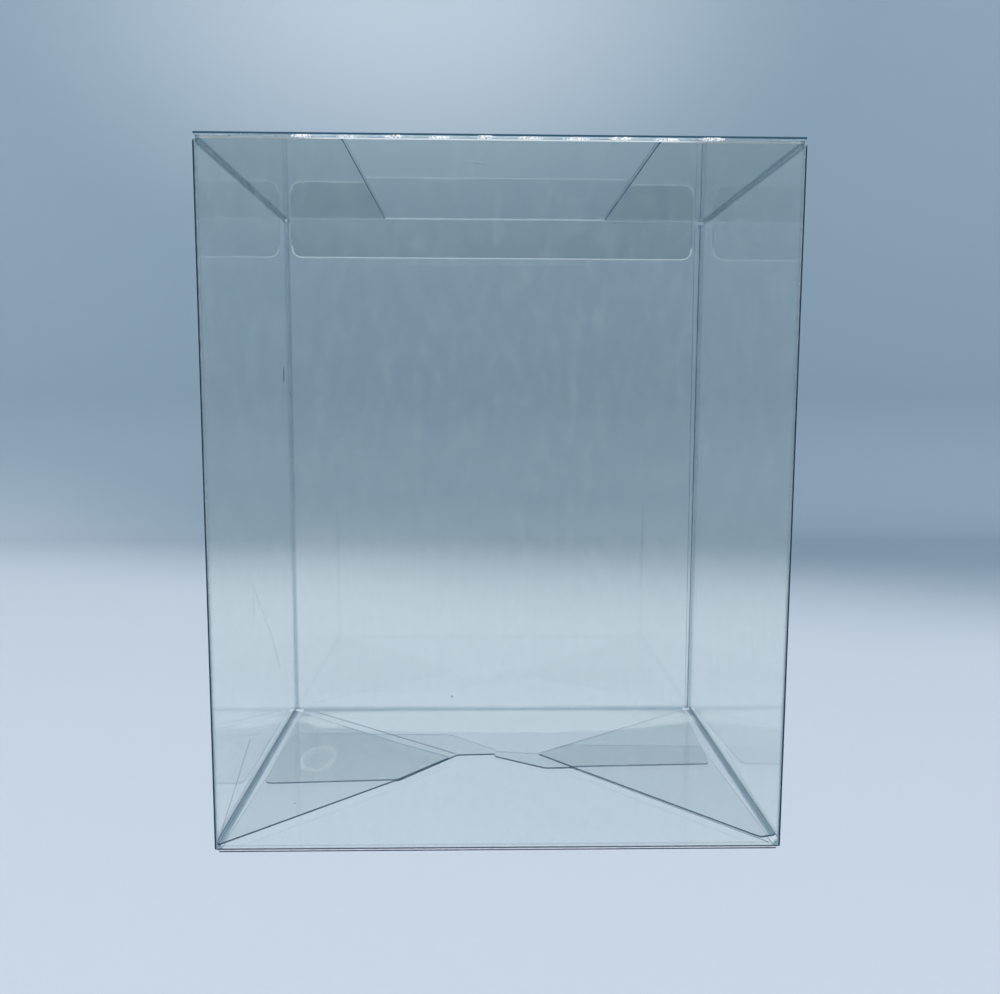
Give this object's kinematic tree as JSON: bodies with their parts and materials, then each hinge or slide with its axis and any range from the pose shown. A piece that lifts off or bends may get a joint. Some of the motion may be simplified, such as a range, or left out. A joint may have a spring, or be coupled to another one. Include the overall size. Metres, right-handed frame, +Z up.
{
  "type": "clear figure box protector",
  "caption": "Clear folded plastic box with a front-hinged tuck lid, dust flaps and a self-locking glued bottom, sized to slip over a boxed figure.",
  "frame": {"origin": "centre of the bottom, on the surface the box stands on", "axes": "+Z up; the front, where the lid is hinged, faces -Y; +X to the right as seen from the front"},
  "size_m": [0.15, 0.107, 0.183],
  "materials": {
    "sleeve_film": "gloss",
    "lid_film": "gloss"
  },
  "bodies": {
    "sleeve": {"wall_sleeve": "sleeve_film"},
    "lid": {"lid": "lid_film"}
  },
  "joints": [
    {"name": "lid_hinge", "type": "hinge", "parent": "sleeve", "child": "lid", "pos_m": [0, -0.05325, 0.18275], "axis": [1, 0, 0], "range_deg": [0, 180]}
  ]
}
